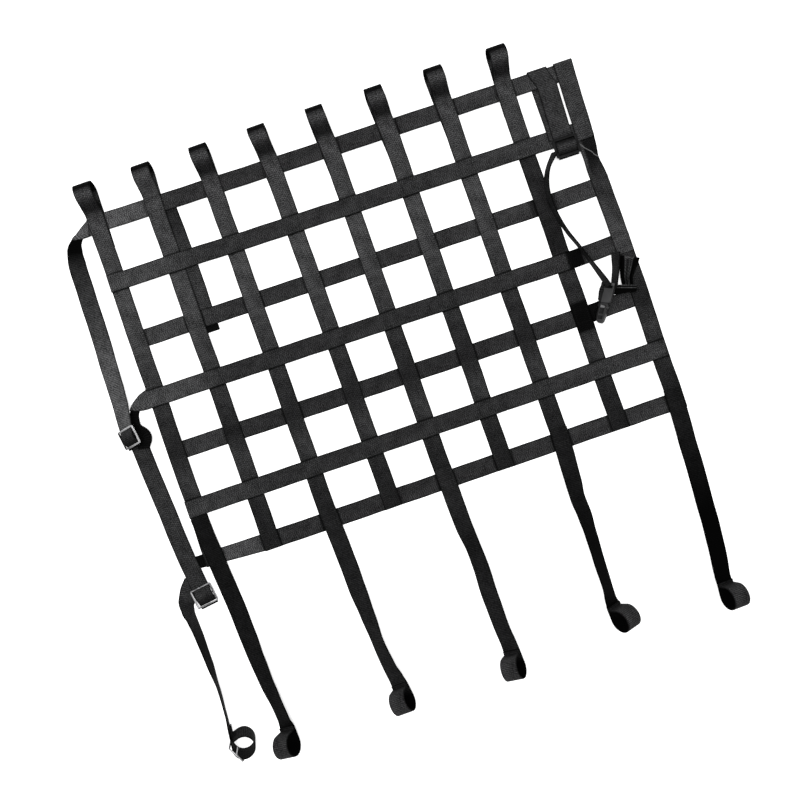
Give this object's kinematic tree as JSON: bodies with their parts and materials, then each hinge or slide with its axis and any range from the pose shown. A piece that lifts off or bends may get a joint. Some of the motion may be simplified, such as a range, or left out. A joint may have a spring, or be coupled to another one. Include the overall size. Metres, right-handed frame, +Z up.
{
  "type": "racing window net",
  "caption": "Black webbing window net laid flat: a sewn strap grid with hanging loops on top, looped drop straps below, side straps with wire slides, and a side-release buckle.",
  "frame": {"origin": "middle of the outline, on the surface on which the net lies", "axes": "+X along the rows to the right seen from above, +Y up the columns towards the hanging loops, +Z up from the surface"},
  "size_m": [0.8068, 0.8834, 0.0418],
  "materials": {
    "black_webbing": "woven black webbing, slightly greyed",
    "dark_webbing": "woven black webbing with fine cross ribs",
    "bright_metal": "bright plated wire",
    "black_plastic": "moulded black plastic with a slight gloss"
  },
  "bodies": {
    "root": {"row_1": "black_webbing", "row_2": "black_webbing", "row_3": "black_webbing", "row_4": "black_webbing", "row_5": "black_webbing", "row_6": "black_webbing", "row_7": "black_webbing", "column_1": "black_webbing", "column_2": "black_webbing", "column_3": "black_webbing", "column_4": "black_webbing", "column_5": "black_webbing", "column_6": "black_webbing", "column_7": "black_webbing", "column_8": "black_webbing", "column_9_upper": "black_webbing", "column_9_lower": "black_webbing", "side_strap_lower": "black_webbing", "corner_strap": "black_webbing", "tether": "black_webbing", "anchor_strap": "black_webbing", "pleated_end": "black_webbing", "keeper_band": "black_webbing", "back_strap": "dark_webbing", "drop_strap_1": "dark_webbing", "drop_strap_2": "dark_webbing", "drop_strap_3": "dark_webbing", "drop_strap_4": "dark_webbing", "drop_strap_5": "dark_webbing", "side_strap_upper": "dark_webbing", "side_strap_mid": "dark_webbing", "side_tail": "dark_webbing", "slide_1": "bright_metal", "slide_2": "bright_metal", "tail_slide": "bright_metal", "corner_slide": "black_plastic", "buckle_body": "black_plastic", "buckle_latch": "black_plastic"}
  },
  "joints": []
}
